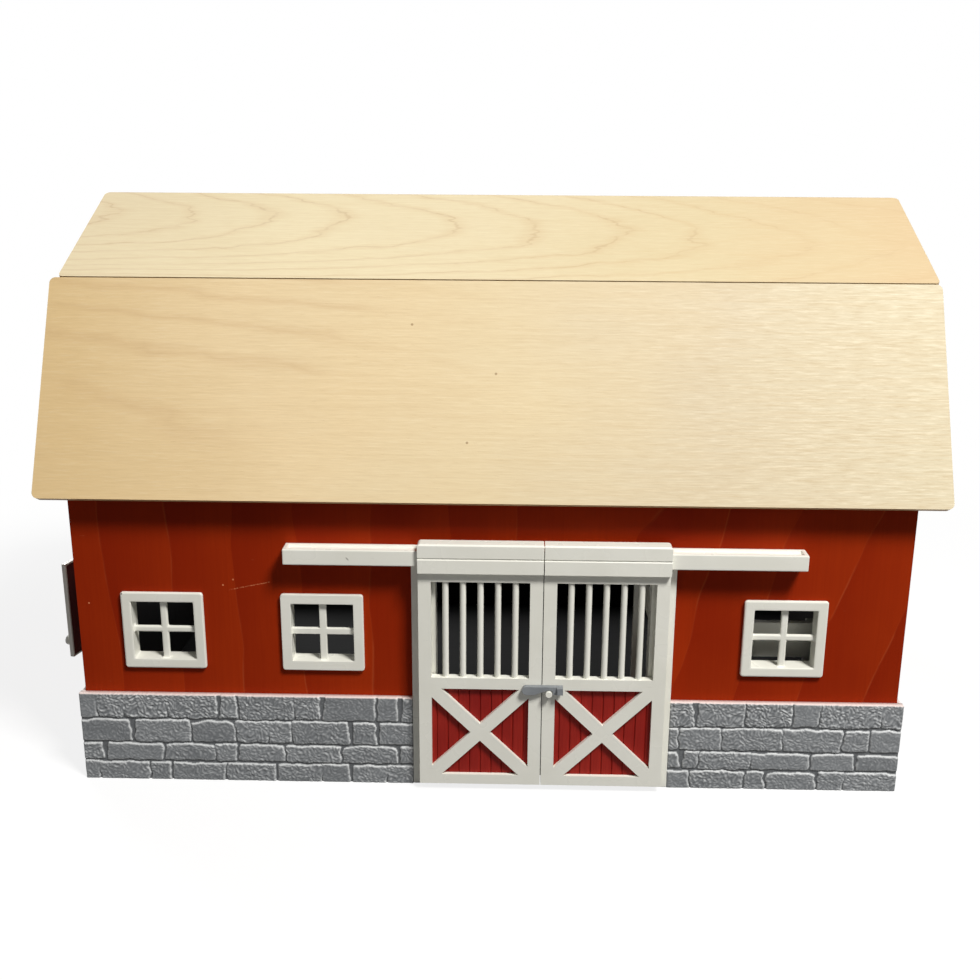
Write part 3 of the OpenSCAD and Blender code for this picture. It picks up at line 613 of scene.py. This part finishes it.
def stone_panel(node, rows, to_frame, length, depth, seed, step):
    """Replaces a plain stone panel by one with the whole relief."""
    u, v = np.meshgrid(np.linspace(0, length, int(length / step) + 1),
        np.linspace(0, STONE_HEIGHT, int(STONE_HEIGHT / step) + 1))
    height, tone = stone_heights(u, v, length, rows, seed)
    # Masks of rubbed ridges with painted highlight, and of painted shade.
    crest, sink = rubbed_and_sunk(height, step)
    border = np.minimum.reduce([u, length - u, STONE_HEIGHT - v])
    level = depth - STONE_RELIEF + height - BORDER_DROP * (1 - quarter_round(border / BORDER_ROUND))

    face = np.stack([u, v, level], -1).reshape(-1, 3)
    index = np.arange(u.size).reshape(u.shape)
    rim = np.concatenate([index[0, :-1], index[:-1, -1], index[-1, :0:-1], index[:0:-1, 0]])
    sole = face[rim].copy()
    sole[:, 2] = 0
    back = np.arange(len(rim)) + len(face)
    quads = np.stack([index[:-1, :-1], index[:-1, 1:], index[1:, 1:], index[1:, :-1]], -1)
    skirt = np.stack([rim, back, np.roll(back, -1), np.roll(rim, -1)], -1)
    points = [to_frame(p) for p in np.concatenate([face, sole]) / 1000]
    mesh = bpy.data.meshes.new(node + "_relief")
    mesh.from_pydata(points, [],
        [*quads.reshape(-1, 4).tolist(), *skirt.tolist(), back[::-1].tolist()])

    # Painted highlight: the top row of points, along the panel's upper edge, is marked for a pale tone.
    ledge = (v > STONE_HEIGHT - 0.01).astype(float)
    for name, values in (("crest", crest), ("sink", sink), ("stone_tone", tone), ("ledge", ledge)):
        flat = values.ravel()
        column = np.concatenate([flat, flat[rim]]).astype(np.float32)
        mesh.attributes.new(name, "FLOAT", "POINT").data.foreach_set("value", column)
    smooth = np.ones(len(mesh.polygons), bool)
    smooth[-1] = False
    mesh.polygons.foreach_set("use_smooth", smooth)
    mesh.update()
    panel = bpy.data.objects.new(node + "_relief", mesh)
    bpy.context.scene.collection.objects.link(panel)
    mesh.materials.append(moulded_stone())
    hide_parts(node)
    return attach(panel, "barn")


def stone_base():
    """The four stone panels, each laid out from the left as it is looked at."""
    step = FINE_STEP
    for node, rows, seed in (("front_left_stone", LEFT_WIDTHS, 11),
            ("front_right_stone", RIGHT_WIDTHS, 23)):
        low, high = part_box(node)
        stone_panel(node, rows, lambda p, start=low.x: (start + p[0], FRONT_Y - p[2], p[1]),
            (high.x - low.x) * 1000, (FRONT_Y - low.y) * 1000, seed, step)
    step = step * SIDE_STEPS
    low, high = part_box("left_side_stone")
    stone_panel("left_side_stone", LEFT_WIDTHS, lambda p: (high.x - p[2], high.y - p[0], p[1]),
        (high.y - low.y) * 1000, (high.x - low.x) * 1000, 37, step)
    low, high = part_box("right_side_stone")
    stone_panel("right_side_stone", RIGHT_WIDTHS, lambda p: (low.x + p[2], low.y + p[0], p[1]),
        (high.y - low.y) * 1000, (high.x - low.x) * 1000, 53, step)


# Frame pieces that keep their shape

# Widths of the eased edges, in metres
ROOF_EASING = 0.0005
STRIP_EASING = 0.0004
LATCH_EASING = 0.0005
WHITE_EASING = {
    "door_frame": 0.0007, "door_track": 0.0007,
    "left_door_leaf": 0.0005, "right_door_leaf": 0.0005,
    "left_door_hanger": 0.0005, "right_door_hanger": 0.0005, "latch_peg": 0.0004,
    "left_window": 0.0011, "middle_window": 0.0011, "right_window": 0.0011,
    "hatch_frame": 0.0005, "hatch_leaf": 0.0004, "hatch_knob": 0.0012, "stall_fence": 0.0005,
}


def ease_edges(node, width):
    """Moulded or sanded edges: joins the faces' corners, clears the flats and rounds the edges."""
    piece = NODES[node]
    weld = piece.modifiers.new("joined", "WELD")
    weld.merge_threshold = 0.00002
    flat = piece.modifiers.new("flat_faces", "DECIMATE")
    flat.decimate_type = "DISSOLVE"
    flat.angle_limit = math.radians(1)
    bevel = piece.modifiers.new("eased", "BEVEL")
    bevel.width = width
    bevel.segments = 2
    bevel.limit_method = "ANGLE"
    bevel.angle_limit = math.radians(32)
    bevel.use_clamp_overlap = True
    bevel.harden_normals = True
    piece.modifiers.new("shading", "WEIGHTED_NORMAL").keep_sharp = True


def wear(node, finish, easing=None):
    """Gives a frame piece its finish and, where it has an easing, its rounded edges."""
    slots = NODES[node].material_slots
    if not slots:
        NODES[node].data.materials.append(finish)
    for held in slots:
        held.link = "OBJECT"
        held.material = finish
    if easing:
        ease_edges(node, easing)


def dress_frame():
    """Finishes the frame's own pieces and eases the edges of roof, strips and mouldings."""
    for panel in ("lower", "upper"):
        for side in ("front", "back"):
            wear(f"{side}_{panel}_roof", birch_ply(panel), ROOF_EASING)
    for node in ("ridge_beam", "front_purlin", "back_purlin"):
        wear(node, strip_birch(), STRIP_EASING)
    for node in ("front_wall", "back_rail"):
        wear(node, red_stain("front"))
    for node in ("left_gable", "right_gable"):
        wear(node, red_stain("side"))
    for node in ("floor_board", "back_sill"):
        wear(node, charcoal_board())
    for node, easing in WHITE_EASING.items():
        wear(node, white_plastic(), easing)
    for node in ("left_door_panel", "right_door_panel"):
        wear(node, crimson_panel("door"))
    wear("hatch_panel", crimson_panel("hatch"))
    for node in ("latch_lever", "latch_clip"):
        wear(node, grey_plastic(), LATCH_EASING)
    wear("hatch_hinge_pin", pin_steel())


# Floor, light and camera

FLOOR_REACH = 6
WHITE = (1.0, 1.0, 1.0)
BOUNCE = (0.16, 0.16, 0.16)    # what the floor gives back to the barn as light
GLOW = 1.04                    # how white the floor looks round the barn's shadow
GLOW_SHARE = 0.78              # the rest of the floor's look is the shadow on it
SHADOW_ENDS = (0.45, 0.9)      # the floor turns to plain white between these distances
WORLD_LIGHT = 0.12

# Lamps: place, what they point at, size, power in watts and tone
LAMPS = {
    "key": ((0.87, -1.17, 1.90), (0.03, -0.12, 0.16), 0.5, 57, (1.0, 0.985, 0.96)),
    "behind": ((-1.2, 1.4, 1.1), (-0.05, 0.05, 0.16), 0.9, 16, WHITE),
}

CAMERA_PLACE = (0.01597, -0.9191, 0.43581)
CAMERA_PITCH = math.radians(16.4)
CAMERA_YAW = math.radians(-1.21)
CAMERA_ROLL = math.radians(0.35)
CAMERA_LENS = 44.08


@material
def studio_floor(f):
    """Pale floor that keeps the barn's shadow and shows white."""
    x, y, _ = f.split(f.place())
    away = (x * x + y * y) ** 0.5
    speck = f.noise(f.place(), 3, 2, 0.5)
    cast = f.add("BsdfDiffuse", None, {"Color": f.blend(speck, srgb(240, 240, 240), srgb(244, 244, 244))})
    glow = f.add("Emission", None, {"Color": WHITE, "Strength": GLOW})
    beyond = f.add("Emission", None, {"Color": WHITE, "Strength": 1.0})
    pale = f.add("MixShader", None, {0: GLOW_SHARE, 1: cast, 2: glow})
    pale = f.add("MixShader", None, {0: away.rise(*SHADOW_ENDS), 1: pale, 2: beyond})
    bounce = f.add("BsdfDiffuse", None, {"Color": BOUNCE})
    shader = f.add("MixShader", None, {0: f.seen(), 1: bounce, 2: pale})
    f.add("OutputMaterial", None, {"Surface": shader})


def lay_floor():
    """Flat floor that reaches well past the barn on every side."""
    shape = bmesh.new()
    bmesh.ops.create_grid(shape, x_segments=1, y_segments=1, size=FLOOR_REACH)
    mesh = bpy.data.meshes.new("studio_floor")
    shape.to_mesh(mesh)
    shape.free()
    mesh.materials.append(studio_floor())
    floor = bpy.data.objects.new("studio_floor", mesh)
    bpy.context.scene.collection.objects.link(floor)


def soft_lamp(name, place, target, size, power, tone):
    """Square lamp at a place, turned to its target."""
    lamp = bpy.data.lights.new(name, "AREA")
    lamp.shape = "SQUARE"
    lamp.size = size
    lamp.energy = power
    lamp.color = tone
    holder = bpy.data.objects.new(name, lamp)
    holder.location = place
    holder.rotation_euler = (Vector(target) - Vector(place)).to_track_quat("-Z", "Y").to_euler()
    bpy.context.scene.collection.objects.link(holder)


def studio():
    """Floor, lamps and an even world that shows white behind the barn."""
    lay_floor()
    world = bpy.data.worlds.new("studio")
    bpy.context.scene.world = world
    f = Finish(world)
    strength = WORLD_LIGHT + f.seen() * (1 - WORLD_LIGHT)
    sky = f.add("Background", None, {"Color": WHITE, "Strength": strength})
    f.add("OutputWorld", None, {"Surface": sky})
    for name, lamp in LAMPS.items():
        soft_lamp(name, *lamp)


def place_camera():
    """Camera at the photograph's place and angle."""
    forward = Vector((math.sin(CAMERA_YAW) * math.cos(CAMERA_PITCH),
        math.cos(CAMERA_YAW) * math.cos(CAMERA_PITCH), -math.sin(CAMERA_PITCH)))
    level = Vector((math.cos(CAMERA_YAW), -math.sin(CAMERA_YAW), 0))
    upward = level.cross(forward)
    right = level * math.cos(CAMERA_ROLL) + upward * math.sin(CAMERA_ROLL)
    top = upward * math.cos(CAMERA_ROLL) - level * math.sin(CAMERA_ROLL)
    turn = Matrix((right, top, -forward)).transposed().to_4x4()
    camera = bpy.data.objects.new("camera", bpy.data.cameras.new("camera"))
    camera.data.lens = CAMERA_LENS
    camera.matrix_world = Matrix.Translation(CAMERA_PLACE) @ turn
    bpy.context.scene.collection.objects.link(camera)
    bpy.context.scene.camera = camera


place_camera()
studio()
dress_frame()
stone_base()
bpy.context.scene.view_settings.view_transform = "Standard"
